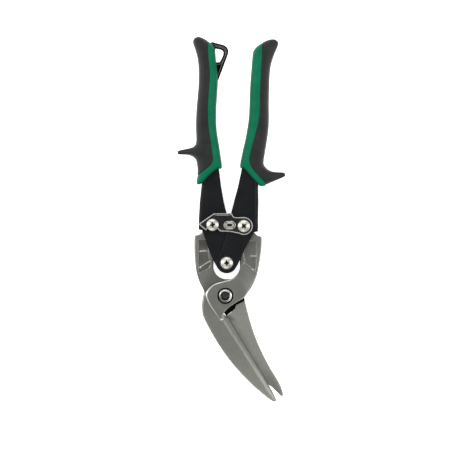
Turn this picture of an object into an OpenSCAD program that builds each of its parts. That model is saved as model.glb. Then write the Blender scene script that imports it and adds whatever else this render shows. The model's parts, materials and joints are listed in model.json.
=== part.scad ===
// Long-cut offset aviation snips, closed and latched, lying on their back.
// X runs across the tool, Y from the blade tips to the grips and Z up from the bench.
// The origin is on the main pivot's axis, on the back face of the pivot bolt's head.
// Heights inside the modules are counted from the shear plane, where the two jaws meet.

/* [Linkage] */
// Main pivot to each handle pivot
jaw_link = 57.6; // [57:0.1:58.2]
// Centre pivot to each handle pivot
handle_link = 32.5; // [32.2:0.1:32.8]
// Left to right handle pivot when latched
pivot_gap = 25; // [24.8:0.1:25.2]
// Lean of the tool's axis away from +Y, in degrees
lean = 2.28; // [2:0.02:2.5]

/* [Jaws] */
// Height of the shear plane over the bench
lift = 10.2; // [10.2:0.1:11]
// Thickness of each jaw at the main pivot
hub_t = 5.55; // [5.4:0.05:5.7]
// Thickness of each blade at its root
blade_t = 4.4; // [4:0.1:4.6]
// Thickness of each blade at its tip
tip_t = 2.6; // [2.2:0.1:3]
// Width of the ground bevel along a cutting edge
bevel_w = 4.6; // [3:0.1:5]
// Height of the square land under that bevel
land_t = 1; // [0.8:0.1:1.4]
// Thickness of each tang
tang_t = 5.6; // [5.4:0.1:5.7]
// Radius of the eye at the end of each tang
eye_r = 7.4; // [7:0.1:7.6]
// Depth of the sunk panel on each tang
panel_d = 0.6; // [0.4:0.1:0.8]

/* [Handles] */
// Thickness of the handles' sheet steel
sheet = 1.5; // [1.4:0.05:1.5]
// Half the width of the left channel over its plates
left_half = 4.4; // [4.4:0.02:4.44]
// Half the width of the right channel over its plates
right_half = 6.05; // [6.05:0.01:6.1]
// Radius of the handles' round ends at the centre pivot
lobe_r = 8.3; // [8:0.1:8.4]

/* [Grips] */
// Half the thickness of a grip at its crown
grip_half = 10.2; // [10.2:0.1:10.8]
// Half the thickness of a grip near its edges
grip_side = 7.6; // [7:0.1:8]
// Thickness of the hang loop
loop_t = 3; // [2.6:0.1:3.4]

/* [Fasteners] */
// Radius of the screws' shanks
screw_r = 2.5; // [2.4:0.05:2.5]
// Radius of the screws' heads
screw_head_r = 5; // [4.8:0.1:5.2]
// Height of a screw's head
screw_head_h = 2.3; // [2.2:0.1:2.6]
// Radius of the main bolt's shank
bolt_r = 4; // [3.9:0.05:4.1]
// Radial clearance of a running fit
fit = 0.05; // [0.03:0.01:0.08]
// Extra radial clearance in the left handle at the centre pivot
open_fit = 0.4; // [0.35:0.05:0.5]

/* [Latch] */
// Thickness of the latch plate
latch_t = 1.6; // [1.5:0.05:1.6]
// Radius of the necks under the two upper screws' heads
neck_r = 1.8; // [1.7:0.05:1.8]
// Height of the thumb tab over the latch plate
tab_h = 4.4; // [3.5:0.1:5]

/* [Hidden] */
$fn = 96;
tall = 40;
shear_gap = 0.05;
slip = 0.05;

// Pivots
half_angle = asin(pivot_gap / 2 / jaw_link);
right_pivot = jaw_link * [sin(lean + half_angle), cos(lean + half_angle)];
left_pivot = jaw_link * [sin(lean - half_angle), cos(lean - half_angle)];
centre_reach = jaw_link * cos(half_angle) - sqrt(pow(handle_link, 2) - pow(pivot_gap / 2, 2));
centre_pivot = centre_reach * [sin(lean), cos(lean)];

// Heights
hub_top = shear_gap + hub_t;
blade_top = shear_gap + blade_t;
tang_half = tang_t / 2;
eye_boss_half = right_half - sheet - 0.1;
eye_boss_r = eye_r - 0.9;
counterbore_r = 6.4;
counterbore_d = 1;
bush_flange_h = 0.35;
latch_z = right_half + slip + bush_flange_h + slip;
latch_top = latch_z + latch_t;
head_gap = 0.1;
head_z = latch_top + head_gap;
neck_gap = 0.15;
neck_z = latch_z - neck_gap;

// Spring between the tangs
spring_reach = 42;
spring_half = 9.2;
coil_r = 2;
wire_r = 0.4;
coil_turns = 8;
coil_steps = 14;
wire_sides = 8;
peg_r = 1.3;
peg_l = 2.6;

// Points on a smooth line through the points p
function between(a, b, c, d, t) =
    0.5 * (2 * b + (c - a) * t + (2 * a - 5 * b + 4 * c - d) * t * t + (3 * b - a - 3 * c + d) * t * t * t);
function smooth(p, n = 4) = [
    for (i = [0:len(p) - 2], k = [0:n - 1])
        between(p[max(i - 1, 0)], p[i], p[i + 1], p[min(i + 2, len(p) - 1)], k / n),
    p[len(p) - 1]
];
function arc(c, r, from, to, n = 12) = [
    for (i = [0:n])
        let (turn = from + (to - from) * i / n)
        c + r * [cos(turn), sin(turn)]
];

// Horseshoe space over the main pivot
shoe_centre = [1.1, 23.7];
shoe_r = 10.7;

// Front jaw: its hub and the right tang
front_upper = concat(
    smooth([[-1.1, -19.8], [-3.9, -20.2]]),
    smooth([[-4.6, -19.6], [-8.3, -13.9], [-12.2, -8], [-14.6, -3.2], [-15.6, 1], [-13.9, 4.9],
        [-9.6, 9], [-3, 11.4], [2.4, 12.7]]),
    arc(shoe_centre, shoe_r, -70, 12, 10),
    smooth([[11.7, 28.5], [11.1, 36], [10.86, 44], [9.4, 49.5]], 3),
    arc(right_pivot, eye_r, 200, -28, 24),
    smooth([[22.1, 51.1], [23.8, 49.9], [25, 48.6], [26.4, 47.9], [28.5, 47.4]], 3),
    smooth([[29.2, 46.4], [29.1, 40], [28.2, 32], [26.8, 23.7], [24.8, 15.2], [21.3, 7.5], [15.4, -1.2]]),
    smooth([[15.2, -1.6], [9, -5.2], [3.9, -8.7], [0.2, -12], [-1.9, -14.7]])
);

// Front jaw: the left blade, from its cutting edge round its back
front_edge = [[2.8, -18], [36.6, -74.8]];
front_blade = concat(
    [[-1.9, -14.7], front_edge[0], front_edge[1]],
    smooth([[37.2, -75.8], [39.1, -79.7], [41, -83.7]], 3),
    smooth([[40.5, -84.6], [38.6, -84.6], [33.8, -81.9], [22.4, -72.3], [9.9, -59.5], [-0.3, -46.7],
        [-8.6, -33.9], [-15.6, -21.1], [-18.2, -14.7], [-18.8, -8], [-18.3, -2.5], [-17.2, 1.6],
        [-14.4, 4.4]]),
    [[-6, 4]]
);

// Back jaw: its hub and the left tang
back_upper = concat(
    smooth([[-6, -15.5], [-10.4, -11.4], [-13.9, -6.6], [-16.6, -0.5], [-17.4, 4.5], [-20.7, 10.9],
        [-22.8, 17.3], [-23.9, 23.7], [-24.6, 31], [-24.9, 39], [-24.8, 46], [-24.4, 47.9]]),
    smooth([[-24, 48.2], [-21.2, 48.9], [-19.4, 49.9], [-18.6, 51.5], [-18, 53]], 3),
    arc(left_pivot, eye_r, 205, -22, 24),
    smooth([[-5.2, 49.5], [-7.4, 44], [-8.4, 36], [-9.6, 28.5]], 3),
    arc(shoe_centre, shoe_r, 168, 280, 14),
    smooth([[7.6, 12.6], [12.6, 8.4], [15, 2.6], [15.3, -3], [15.9, -5.2]])
);

// Back jaw: the right blade, from its cutting edge round its back
back_edge = [[-3.2, -17.2], [34.6, -71.6]];
back_blade = concat(
    [[-6, -15.5], back_edge[0], back_edge[1]],
    smooth([[35.2, -71.9], [36.8, -72.8], [39.8, -75.7], [43.4, -79.3], [45.4, -80.6]]),
    smooth([[46, -80.2], [46.2, -78.4], [45.1, -74.7], [42.7, -69.1], [35, -56.3], [28.5, -43.5],
        [23.2, -30.7], [19.2, -17.9], [15.9, -5.2]]),
    [[4, 2]]
);

// Relief groove in the back jaw along the edge of the front hub
groove_d = 3;
groove = smooth([[-1.2, -15.6], [0, -17], [1.8, -14.9], [5.6, -12.1], [7.8, -9.9], [8.4, -7.4], [11.2, -6],
    [15.2, -4], [15.2, -1], [9, -4.6], [3.7, -8.2], [-1.6, -13.6], [-1.2, -15.6]], 3);

// Sunk panels on the tangs, and the raised ribs in them
right_panel = [[17.5, 43.8], [24.9, 43.8], [24.8, 26], [23.6, 19.5], [14.4, 24.9], [15.8, 28], [14.2, 34]];
left_panel = [[-13, 44.6], [-21.6, 44.6], [-21.5, 28], [-20.9, 18.3], [-13.4, 22.1], [-11.9, 24.8],
    [-13.4, 29], [-14.2, 35]];
rib_w = 1;
right_ribs = [[[15.2, 26.2], [22.5, 20.8]], [[20.2, 31.6], [24.9, 31.6]]];
left_ribs = [[[-12.4, 27.6], [-20, 22.6]], [[-15.2, 35.9], [-20.4, 35.4]]];

// Handle channels: outer edge, lower edge to the centre pivot, inner edge
right_outer = [[33, 190], [32.4, 178], [31.2, 150], [27.6, 116], [25.9, 92], [26.2, 75], [25.9, 59],
    [26.1, 51.3]];
right_inner = [[-6.7, 29.2], [-3, 36.2], [-0.2, 44.1], [2, 54], [4.4, 65.3], [6.8, 74.9], [10.2, 87.7],
    [13.2, 102], [16.8, 116], [21.6, 150], [24.3, 178], [25.5, 190]];
right_plate = concat(
    right_outer,
    [[23.2, 50.8]],
    smooth([[22.1, 49.2], [15.6, 37.2], [12, 29.2], [9.6, 24.4]], 3),
    arc(centre_pivot, lobe_r, -28, -200, 18),
    right_inner
);
left_outer = [[-17.4, 192], [-18, 178], [-19.6, 150], [-19.4, 116], [-18.6, 90], [-20.3, 75], [-21, 62],
    [-21.3, 52.9]];
left_inner = [[8.8, 29.2], [6.4, 38], [4, 50], [2.6, 58], [1.2, 65.3], [-1.2, 74.9], [-3.4, 87.7],
    [-5.2, 102], [-8, 116], [-10.4, 150], [-9.6, 178], [-10, 192]];
left_plate = concat(
    left_outer,
    [[-18.6, 52.2]],
    smooth([[-17.6, 49.6], [-13.6, 37.8], [-10, 29], [-7.6, 24.4]], 3),
    arc(centre_pivot, lobe_r, 208, 380, 18),
    left_inner
);
web_end = 54;

// Grips: the outer edge, the seam between the two mouldings and the inner edge
right_grip_outer = concat(
    smooth([[29.3, 202.2], [32, 203.6], [35.5, 204.9], [39.4, 205], [42.2, 202.8], [41.7, 199], [39, 192.6],
        [36.4, 184.2], [35.3, 174], [34.8, 154.9], [34.8, 138], [33.6, 126.4], [31.6, 114], [30.6, 107.4],
        [31, 104.4], [33.2, 101.6], [36.9, 99.5], [41.5, 98.9], [46.1, 98.7]]),
    smooth([[47.3, 98.2], [48, 96.8], [47.4, 95.3], [43.4, 93.3], [39.8, 91.8], [32.9, 88.8]])
);
right_seam = smooth([[32.9, 88.8], [29.3, 92.9], [25.3, 97.1], [21.6, 101.8], [19, 107.7], [19.9, 113.3],
    [22.7, 124.7], [25.8, 136], [27.4, 148], [27.8, 165], [28.6, 181], [29.3, 193], [29.3, 202.2]]);
right_grip_inner = concat(
    smooth([[29.3, 202.2], [25.4, 199.4], [22.9, 196.4], [21.8, 193], [20.8, 181], [19.8, 167.7],
        [19.3, 154.9], [18.7, 142], [16.4, 127], [13.6, 114.6], [11.8, 105], [12, 102.2]]),
    smooth([[12.4, 101.9], [15.4, 100.7], [20.2, 95.2], [25.8, 89.2], [28.4, 87.5], [31.2, 87.6],
        [32.9, 88.8]])
);
right_core = smooth([[30, 200], [36, 202.4], [38.8, 200.4], [35.6, 190], [32.6, 178], [31.8, 155],
    [31.8, 138], [29.6, 124], [27.6, 108], [28.5, 100], [27, 96], [22.4, 99.6], [15.4, 105.6], [16.6, 113],
    [21.4, 134], [22.4, 155], [23.4, 178], [25, 193], [30, 200]]);
left_grip_outer = concat(
    smooth([[-13.9, 203.6], [-18.3, 206.2], [-21.9, 207.1], [-24.9, 205.8], [-26, 202.6], [-24.4, 197.6],
        [-22.3, 190], [-21.3, 180.5], [-21.5, 168], [-23.1, 149], [-23.6, 137], [-23.3, 123.4],
        [-24.8, 119.8], [-28.6, 118], [-36.4, 116.4]]),
    smooth([[-38.2, 115.6], [-38.2, 113.8], [-37, 112.9], [-30.2, 112.5], [-26, 111.1], [-23.4, 108.2],
        [-22.3, 102], [-22.4, 95.8]])
);
left_seam = smooth([[-22.4, 95.8], [-19.5, 98], [-15, 101.6], [-11.3, 105], [-9.9, 108.2],
    [-10.5, 114], [-12.3, 126.9], [-13.7, 137.3], [-13.9, 152], [-13, 166], [-12.4, 176], [-13.2, 186],
    [-13.9, 195], [-13.9, 203.6]]);
left_grip_inner = concat(
    smooth([[-13.9, 203.6], [-10, 200.2], [-8.2, 196.6], [-7.7, 190], [-6.6, 181], [-6, 171], [-6.6, 160],
        [-7.3, 149], [-7.1, 134], [-5.2, 121], [-3.2, 107.6], [-2.7, 103]]),
    smooth([[-3.2, 101.4], [-6.6, 101.1], [-11.6, 97], [-16.8, 91.8], [-18.8, 89.8], [-21.8, 88.8],
        [-23, 89.6], [-23, 92], [-22.4, 95.8]])
);
left_core = smooth([[-14, 201], [-20.8, 203.8], [-23, 201.6], [-20.2, 192], [-18.2, 180], [-18.6, 166],
    [-20.2, 149], [-20.4, 124], [-20, 112], [-19.4, 100], [-16.6, 98], [-11.4, 101.4], [-6.4, 105.6],
    [-7.6, 114], [-10.2, 134], [-10.2, 150], [-9.4, 172], [-11, 190], [-14, 201]]);

// Hang loop
loop_outline = [[-15.5, 198.6], [-10.7, 202.8], [-1.3, 200.3], [1.1, 198.7], [2.3, 196.2], [2.1, 193.4],
    [-5.8, 172.4], [-15.5, 176]];
loop_hole = [[-8.2, 197.8], [-3.6, 196.9], [-2, 195.9], [-1.4, 194.5], [-1.6, 192.4], [-3.8, 187.4],
    [-4.9, 186.5], [-8.2, 186.5]];

// Latch plate, with its notch over the left screw
latch_eye_r = 7.1;
notch_gap = 0.5;
notch_r = neck_r + notch_gap;
latch_outline = concat(
    [[-20.9, 57.6], [-20.9, 56.8], [-15.9, 52.3], [-15.3, 52.1]],
    arc(left_pivot, notch_r, 154, 0, 16),
    smooth([[-7.4, 55], [-5.6, 52.9], [-3.8, 51.5], [4, 51], [9, 49.9]], 3),
    arc(right_pivot, latch_eye_r, 235, 450, 24),
    smooth([[9.6, 62.7], [6.6, 63.2], [5.2, 65.7]], 3),
    [[-9.3, 65.7], [-11, 64.6]]
);
tab_x = [-8.6, 4.4];
tab_y = [64.1, 65.7];
boss_x = 3.4;
boss_y = 56.4;
boss_half = 1.45;
boss_r = 3.4;
boss_h = 1.1;
slot_half = 0.85;
slot_r = 0.85;

// Solids from an outline, between two heights over the shear plane
module slab(outline, low, high) {
    translate([0, 0, lift + low]) linear_extrude(high - low) polygon(outline);
}

// A disc or rod on a pivot, between two heights over the shear plane
module rod(at, r, low, high) {
    translate([at[0], at[1], lift + low]) cylinder(r = r, h = high - low);
}

// A profile of sideways distance and height, drawn along the line from p to q and past its ends
module along(p, q, past = 6) {
    d = q - p;
    translate([p[0], p[1], lift])
        rotate([90, 0, atan2(d[1], d[0]) + 90])
            translate([0, 0, -past])
                linear_extrude(norm(d) + 2 * past)
                    children();
}

// A profile of Y and height, drawn right across the tool
module across() {
    translate([-2 * tall, 0, lift]) rotate([90, 0, 90]) linear_extrude(4 * tall) children();
}

// Space for the taper of a blade from its root to its tip, seen from the side
module blade_side() {
    polygon([[10, shear_gap], [10, blade_top], [-20, blade_top], [-86, tip_t], [-86, shear_gap]]);
}

// The jaw's shape from the side: hub in front, ramp, then a tang in the middle
module jaw_side() {
    polygon([[-25, shear_gap], [17.4, shear_gap], [24, -tang_half], [66, -tang_half],
        [66, tang_half], [22, tang_half], [15, hub_top], [-25, hub_top]]);
}

// What the bevel takes off a blade, seen along its cutting edge
module bevel(side) {
    past = -4 * side;
    polygon([[0, land_t], [side * bevel_w, blade_top], [side * bevel_w, tall],
        [past, tall], [past, land_t]]);
}

module flip_in_height() {
    translate([0, 0, lift]) mirror([0, 0, 1]) translate([0, 0, -lift]) children();
}

module spring_peg(side) {
    at = spring_reach * [sin(lean), cos(lean)] + side * spring_half * [cos(lean), -sin(lean)];
    translate([at[0], at[1], lift])
        rotate([0, side * -90, -lean])
            translate([0, 0, -3])
                cylinder(r = peg_r, h = peg_l + 3);
}

module panel(outline, ribs) {
    difference() {
        slab(outline, tang_half - panel_d, tall);
        for (rib = ribs)
            translate([0, 0, tang_half - lift])
                along(rib[0], rib[1], 0)
                    translate([-rib_w / 2, -tall])
                        square([rib_w, tall]);
    }
}

module front_jaw() {
    color([0.55, 0.55, 0.53]) {
        difference() {
            union() {
                intersection() {
                    slab(front_upper, -tall / 2, tall / 2);
                    across() jaw_side();
                }
                difference() {
                    intersection() {
                        slab(front_blade, -tall / 2, tall / 2);
                        across() blade_side();
                    }
                    along(front_edge[0], front_edge[1]) bevel(-1);
                }
                rod(right_pivot, eye_boss_r, -eye_boss_half, eye_boss_half);
                spring_peg(1);
            }
            rod([0, 0], bolt_r + fit, -tall / 4, tall / 2);
            rod([0, 0], counterbore_r, hub_top - counterbore_d, tall / 2);
            rod(right_pivot, screw_r + fit, -tall / 4, tall / 4);
            panel(right_panel, right_ribs);
        }
    }
}

module back_jaw() {
    color([0.57, 0.57, 0.55]) {
        difference() {
            union() {
                intersection() {
                    slab(back_upper, -tall / 4, tall / 2);
                    flip_in_height() across() jaw_side();
                }
                flip_in_height() difference() {
                    intersection() {
                        slab(back_blade, -tall / 2, tall / 2);
                        across() blade_side();
                    }
                    along(back_edge[0], back_edge[1]) bevel(1);
                }
                spring_peg(-1);
            }
            slab(groove, -groove_d, tall);
            rod([0, 0], bolt_r + fit, -tall / 4, tall / 2);
            rod(left_pivot, screw_r + fit, -tall / 4, tall / 4);
            panel(left_panel, left_ribs);
        }
    }
}

// Main pivot: a bolt from the back, a plain washer and a round locknut in front
washer_t = 1;
washer_r = 8.2;
bolt_head_r = 7.5;
thread_r = 3.5;
bolt_end = 7.2;
locknut_r = 5.15;
locknut_top = 7.7;
locknut_lip = 0.6;
locknut_step = 0.4;

module main_bolt() {
    color([0.25, 0.25, 0.26]) {
        rod([0, 0], bolt_r, -hub_top - washer_t - slip, hub_top - counterbore_d);
        rod([0, 0], thread_r, hub_top - counterbore_d - 1, bolt_end);
        cylinder(r = bolt_head_r, h = lift - hub_top - washer_t - slip, $fn = 6);
    }
}

module main_washer() {
    color([0.6, 0.6, 0.58])
        difference() {
            rod([0, 0], washer_r, -hub_top - washer_t, -hub_top);
            rod([0, 0], bolt_r + fit, -tall / 2, 0);
        }
}

module main_locknut() {
    color([0.8, 0.8, 0.78])
        difference() {
            union() {
                rod([0, 0], locknut_r, hub_top - counterbore_d + slip, locknut_top - locknut_lip);
                rod([0, 0], locknut_r - locknut_step, locknut_top - locknut_lip, locknut_top);
            }
            rod([0, 0], thread_r + fit, 0, tall);
        }
}

// One turn after another of round wire, from one tang to the other
coil_half = spring_half - wire_r - slip;
function coil_at(i) =
    let (a = 360 * i / coil_steps)
    [coil_half * (2 * i / (coil_turns * coil_steps) - 1), coil_r * cos(a), coil_r * sin(a)];
function wire_ring(i) =
    let (a = 360 * i / coil_steps, c = coil_at(i))
    [for (k = [0:wire_sides - 1])
        let (b = 360 * k / wire_sides)
        [c[0] + wire_r * sin(b), c[1] + wire_r * cos(b) * cos(a), c[2] + wire_r * cos(b) * sin(a)]];

module opening_spring() {
    last = coil_turns * coil_steps;
    rings = [for (i = [0:last]) each wire_ring(i)];
    faces = concat(
        [[for (k = [0:wire_sides - 1]) k]],
        [for (i = [0:last - 1], k = [0:wire_sides - 1])
            let (n = (k + 1) % wire_sides)
            each [[i * wire_sides + k, (i + 1) * wire_sides + k, i * wire_sides + n],
                [i * wire_sides + n, (i + 1) * wire_sides + k, (i + 1) * wire_sides + n]]],
        [[for (k = [wire_sides - 1:-1:0]) last * wire_sides + k]]
    );
    color([0.7, 0.7, 0.7])
        translate([spring_reach * sin(lean), spring_reach * cos(lean), lift])
            rotate([0, 0, -lean])
                polyhedron(rings, faces);
}

// A folded sheet channel: two plates joined by a web along the outer edge
module channel(plate, outer, half, side) {
    difference() {
        slab(plate, -half, half);
        slab(concat([for (p = outer) p - [side * sheet, 0]],
            [[-side * tall, tall], [-side * tall, 5 * tall]]), sheet - half, half - sheet);
        translate([-tall, 0, lift + sheet - half]) cube([2 * tall, web_end, 2 * (half - sheet)]);
    }
}

module right_handle_channel() {
    color([0.12, 0.12, 0.13])
        difference() {
            channel(right_plate, right_outer, right_half, 1);
            rod(right_pivot, screw_r + fit, -tall / 4, tall / 4);
            rod(centre_pivot, screw_r + fit, -tall / 4, tall / 4);
        }
}

module left_handle_channel() {
    color([0.12, 0.12, 0.13])
        difference() {
            channel(left_plate, left_outer, left_half, -1);
            rod(left_pivot, screw_r + fit, -tall / 4, tall / 4);
            rod(centre_pivot, screw_r + open_fit, -tall / 4, tall / 4);
        }
}

// One moulding of a grip: its outline, thick along the core and thinner beside it
module moulding(outline, core, plate, half) {
    difference() {
        intersection() {
            slab(outline, -tall / 2, tall / 2);
            union() {
                slab(core, -grip_half, grip_half);
                translate([-1.5 * tall, 2 * tall, lift - grip_side])
                    cube([3 * tall, 4 * tall, 2 * grip_side]);
            }
        }
        slab(plate, -half, half);
    }
}

module right_grip_body() {
    color([0.2, 0.2, 0.2])
        moulding(concat(right_grip_outer, right_seam), right_core, right_plate, right_half);
}

module right_grip_inlay() {
    color([0.04, 0.47, 0.33])
        moulding(concat(right_seam, right_grip_inner), right_core, right_plate, right_half);
}

module left_grip_body() {
    color([0.2, 0.2, 0.2])
        difference() {
            moulding(concat(left_grip_outer, left_seam), left_core, left_plate, left_half);
            slab(loop_outline, -loop_t / 2, loop_t / 2);
        }
}

module left_grip_inlay() {
    color([0.04, 0.47, 0.33])
        difference() {
            moulding(concat(left_seam, left_grip_inner), left_core, left_plate, left_half);
            slab(loop_outline, -loop_t / 2, loop_t / 2);
        }
}

module hang_loop() {
    color([0.06, 0.06, 0.06])
        difference() {
            slab(loop_outline, -loop_t / 2, loop_t / 2);
            slab(loop_hole, -loop_t, loop_t);
        }
}

// A truss head with a cross recess, its seat at the given height
module truss_head(at, seat) {
    rim = 0.5;
    dome = screw_head_h - rim;
    ball = (pow(screw_head_r, 2) + pow(dome, 2)) / (2 * dome);
    recess_l = 3.8;
    recess_w = 0.95;
    recess_d = 1.3;
    translate([at[0], at[1], lift + seat])
        difference() {
            union() {
                cylinder(r = screw_head_r, h = rim);
                intersection() {
                    translate([0, 0, screw_head_h - ball]) sphere(r = ball);
                    translate([0, 0, rim]) cylinder(r = screw_head_r, h = dome);
                }
            }
            for (turn = [0, 90])
                rotate([0, 0, turn + 20])
                    translate([-recess_l / 2, -recess_w / 2, screw_head_h - recess_d])
                        cube([recess_l, recess_w, tall]);
        }
}

module hex_nut(at, seat) {
    nut_h = 3.6;
    nut_r = 4.6;
    difference() {
        translate([at[0], at[1], lift + seat - nut_h]) cylinder(r = nut_r, h = nut_h, $fn = 6);
        rod(at, screw_r + fit, seat - tall / 4, seat + 1);
    }
}
screw_end = 2.9;

// A screw with a narrower neck under its head, at the latch's height
module shoulder_screw(at, half) {
    rod(at, screw_r, -half - screw_end, neck_z);
    rod(at, neck_r, neck_z - 1, head_z);
    truss_head(at, head_z);
}

module right_pivot_screw() {
    color([0.85, 0.84, 0.8]) shoulder_screw(right_pivot, right_half);
}

module right_pivot_nut() {
    color([0.6, 0.6, 0.58]) hex_nut(right_pivot, -right_half);
}

module left_pivot_screw() {
    color([0.85, 0.84, 0.8]) shoulder_screw(left_pivot, left_half);
}

module left_screw_collar() {
    collar_r = 4;
    color([0.5, 0.5, 0.5])
        difference() {
            rod(left_pivot, collar_r, left_half, neck_z);
            rod(left_pivot, screw_r + fit, 0, tall);
        }
}

module left_pivot_nut() {
    color([0.6, 0.6, 0.58]) hex_nut(left_pivot, -left_half);
}

// Centre pivot: its screw is held by the right handle
centre_washer_r = 5.9;
centre_washer_t = 0.8;
spacer_r = 4.2;

module centre_screw() {
    color([0.85, 0.84, 0.8]) {
        rod(centre_pivot, screw_r, -right_half - screw_end, right_half + centre_washer_t);
        truss_head(centre_pivot, right_half + centre_washer_t);
    }
}

module centre_washer() {
    color([0.07, 0.07, 0.07])
        difference() {
            rod(centre_pivot, centre_washer_r, right_half, right_half + centre_washer_t);
            rod(centre_pivot, screw_r + fit, 0, tall);
        }
}

module centre_spacer() {
    spacer_half = left_half - sheet - slip;
    color([0.5, 0.5, 0.5])
        difference() {
            rod(centre_pivot, spacer_r, -spacer_half, spacer_half);
            rod(centre_pivot, screw_r + fit, -tall / 4, tall / 4);
        }
}

module centre_nut() {
    color([0.6, 0.6, 0.58]) hex_nut(centre_pivot, -right_half);
}

// Latch: a flanged bush on the right screw, the hooked plate and an oval boss on it
sleeve_r = 3.5;
flange_r = 5.6;

module latch_bush() {
    seat = right_half + slip;
    color([0.7, 0.65, 0.45])
        difference() {
            union() {
                rod(right_pivot, flange_r, seat, seat + bush_flange_h);
                rod(right_pivot, sleeve_r, seat, latch_top);
            }
            rod(right_pivot, neck_r + fit, 0, tall);
            rod(right_pivot, screw_r + fit, 0, neck_z + slip);
        }
}

module latch_plate() {
    color([0.1, 0.1, 0.11])
        difference() {
            union() {
                slab(latch_outline, latch_z, latch_top);
                translate([tab_x[0], tab_y[0], lift + latch_z])
                    cube([tab_x[1] - tab_x[0], tab_y[1] - tab_y[0], latch_t + tab_h]);
            }
            rod(right_pivot, sleeve_r + fit, 0, tall);
        }
}

function oval(half_length, r) = concat(
    arc([boss_x + half_length, boss_y], r, -90, 90),
    arc([boss_x - half_length, boss_y], r, 90, 270)
);

module latch_boss() {
    color([0.8, 0.79, 0.75])
        difference() {
            slab(oval(boss_half, boss_r), latch_top, latch_top + boss_h);
            slab(oval(slot_half, slot_r), latch_top, tall);
        }
}

front_jaw();
back_jaw();
main_bolt();
main_washer();
main_locknut();
opening_spring();
right_handle_channel();
right_grip_body();
right_grip_inlay();
right_pivot_screw();
right_pivot_nut();
centre_screw();
centre_washer();
centre_spacer();
centre_nut();
left_handle_channel();
left_grip_body();
left_grip_inlay();
hang_loop();
left_pivot_screw();
left_screw_collar();
left_pivot_nut();
latch_bush();
latch_plate();
latch_boss();
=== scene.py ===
"""Long-cut aviation snips, closed and latched, lying on their back on a pale bench.

Shapes are worked out as distance fields in millimetres, in the row frame's X and Y, with heights counted
from the shear plane between the jaws. Outlines are cut from the CAD nodes, so every piece fits its node.
"""
import json

import bmesh
import bpy
import numpy as np
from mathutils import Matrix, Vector


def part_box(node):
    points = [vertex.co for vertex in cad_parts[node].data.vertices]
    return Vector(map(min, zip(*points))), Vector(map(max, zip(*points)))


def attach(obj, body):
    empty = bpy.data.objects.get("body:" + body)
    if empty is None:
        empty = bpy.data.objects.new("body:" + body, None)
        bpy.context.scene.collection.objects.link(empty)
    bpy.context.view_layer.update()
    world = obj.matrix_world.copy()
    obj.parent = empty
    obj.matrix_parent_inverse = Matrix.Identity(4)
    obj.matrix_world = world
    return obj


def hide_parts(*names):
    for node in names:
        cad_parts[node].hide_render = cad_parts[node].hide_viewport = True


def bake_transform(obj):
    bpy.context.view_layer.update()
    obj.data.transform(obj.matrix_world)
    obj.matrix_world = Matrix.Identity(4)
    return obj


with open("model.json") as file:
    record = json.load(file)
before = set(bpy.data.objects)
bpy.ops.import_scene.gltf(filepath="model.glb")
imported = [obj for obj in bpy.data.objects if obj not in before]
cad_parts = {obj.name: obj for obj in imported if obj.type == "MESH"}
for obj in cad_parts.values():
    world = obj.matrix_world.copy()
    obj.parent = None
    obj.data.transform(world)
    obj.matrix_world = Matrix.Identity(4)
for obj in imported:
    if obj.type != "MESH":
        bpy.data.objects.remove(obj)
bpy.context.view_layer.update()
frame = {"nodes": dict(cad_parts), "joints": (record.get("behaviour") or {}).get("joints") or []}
MM = 0.001
# Height of the shear plane above the bench, in millimetres.
LIFT = 10.2
JOINTS = {j["name"]: np.array(j["pos_m"][:2]) / MM for j in frame["joints"]}
MAIN = JOINTS["jaw_pivot"]
RIGHT = JOINTS["right_handle_pivot"]
LEFT = JOINTS["left_handle_pivot"]


# ---------------------------------------------------------------- distance fields

def node_box(node):
    """Lowest and highest corner of a CAD node, in millimetres, with heights from the shear plane."""
    low, high = (np.array(c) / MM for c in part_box(node))
    return low - (0, 0, LIFT), high - (0, 0, LIFT)


def section(node, height):
    """The outline of a CAD node at a height, as straight segments."""
    work = bmesh.new()
    work.from_mesh(frame["nodes"][node].data)
    cut = bmesh.ops.bisect_plane(
        work, geom=work.verts[:] + work.edges[:] + work.faces[:],
        plane_co=(0, 0, (LIFT + height) * MM), plane_no=(0, 0, 1),
    )
    edges = [e for e in cut["geom_cut"] if isinstance(e, bmesh.types.BMEdge)]
    segments = np.array([[v.co.xy[:] for v in e.verts] for e in edges]) / MM
    work.free()
    return segments


def loop(points):
    """A closed outline through the points, as segments."""
    points = np.array(points, float)
    return np.stack([points, np.roll(points, -1, 0)], 1)


def to_segments(x, y, segments):
    """Distance from each grid point to the nearest segment."""
    best = np.full(np.broadcast(x, y).shape, 1e9)
    for (ax, ay), (bx, by) in segments:
        dx, dy = bx - ax, by - ay
        along = np.clip(((x - ax) * dx + (y - ay) * dy) / max(dx * dx + dy * dy, 1e-12), 0, 1)
        best = np.minimum(best, (x - ax - along * dx) ** 2 + (y - ay - along * dy) ** 2)
    return np.sqrt(best)


def outline(x, y, segments):
    """Signed distance to a closed outline, negative inside."""
    inside = np.zeros(np.broadcast(x, y).shape, bool)
    for (ax, ay), (bx, by) in segments:
        if ay != by:
            crosses = ((ay > y) != (by > y)) & (x < ax + (y - ay) * (bx - ax) / (by - ay))
            inside ^= crosses
    return np.where(inside, -1, 1) * to_segments(x, y, segments)


def meet(a, b, r=0.0):
    """Where both solids are, with its edge rounded to radius r."""
    r = np.maximum(r, 1e-4)
    return np.minimum(-r, np.maximum(a, b)) + np.hypot(np.maximum(a + r, 0), np.maximum(b + r, 0))


def join(a, b, r=0.0):
    """Both solids, with a fillet of radius r between them."""
    return -meet(-a, -b, r)


def chamfer(a, b, width):
    """Where both solids are, with its edge cut off at 45 degrees."""
    return np.maximum(np.maximum(a, b), (a + b + width) * 0.7071)


def ease(value, start, end):
    """From 0 to 1, smoothly, as value goes from start to end."""
    t = np.clip((value - start) / (end - start), 0, 1)
    return t * t * (3 - 2 * t)


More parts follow.
